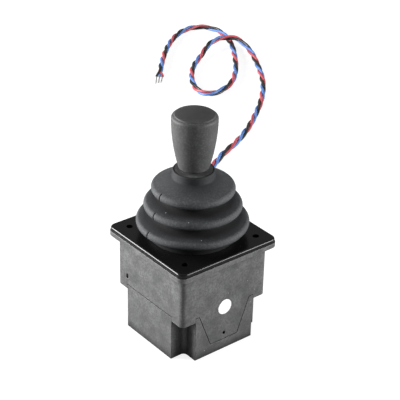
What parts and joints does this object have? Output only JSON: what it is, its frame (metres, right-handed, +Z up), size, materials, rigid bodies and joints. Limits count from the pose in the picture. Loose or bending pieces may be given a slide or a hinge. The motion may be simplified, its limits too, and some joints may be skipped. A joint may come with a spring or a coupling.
{
  "type": "panel joystick",
  "caption": "Single-axis panel joystick: a sprung lever with a tapered knob and a ribbed rubber boot on a square moulded housing, with a twisted lead.",
  "frame": {"origin": "centre of the lower housing's flat underside", "axes": "+Z up along the upright lever; +Y along the pivot axle, towards the face with the lead outlet; the lever tilts in the XZ plane"},
  "size_m": [0.2886, 0.3397, 0.1182],
  "materials": {
    "housing_plastic": "satin black, finely mottled",
    "bezel_plastic": "gloss black",
    "boot_rubber": "matt dark grey",
    "knob_plastic": "fine matt dark grey",
    "steel": "bright zinc plated",
    "spring_steel": "plain spring wire",
    "brass": "turned",
    "cradle_metal": "die cast",
    "inner_plastic": "natural acetal",
    "board": "solder mask",
    "chip_plastic": "moulded",
    "label": "plain white film",
    "wire_insulation": "red, black and blue insulation",
    "tinned_copper": "tinned strands",
    "grommet_rubber": "matt black"
  },
  "bodies": {
    "housing": {"lower_housing": "housing_plastic", "upper_housing": "housing_plastic", "bezel": "bezel_plastic", "boot": "boot_rubber", "gate_plate": "steel", "pivot_cradle": "cradle_metal", "cradle_screws": "steel", "axle_bushes": "brass", "centring_spring": "spring_steel", "sensor_board": "board", "sensor_chip": "chip_plastic", "wire_header": "inner_plastic", "inner_lead": "wire_insulation", "lead_grommet": "grommet_rubber", "lead": "wire_insulation", "tinned_ends": "tinned_copper", "label_dot": "label", "locking_pins": "housing_plastic"},
    "lever": {"lever_shaft": "steel", "pivot_hub": "inner_plastic", "hub_screw": "steel", "pivot_axle": "steel", "axle_spacer": "brass", "axle_clip": "spring_steel", "magnet_holder": "inner_plastic", "magnet": "spring_steel", "lever_ferrule": "bezel_plastic", "knob_insert": "brass", "lock_nut": "steel", "knob": "knob_plastic"}
  },
  "joints": [
    {"name": "lever_tilt", "type": "hinge", "parent": "housing", "child": "lever", "pos_m": [0, 0, 0.04], "axis": [0, 1, 0], "range_deg": [-20, 20], "stiffness_Nm_per_rad": 0.8, "deforming": ["boot", "centring_spring"]}
  ]
}
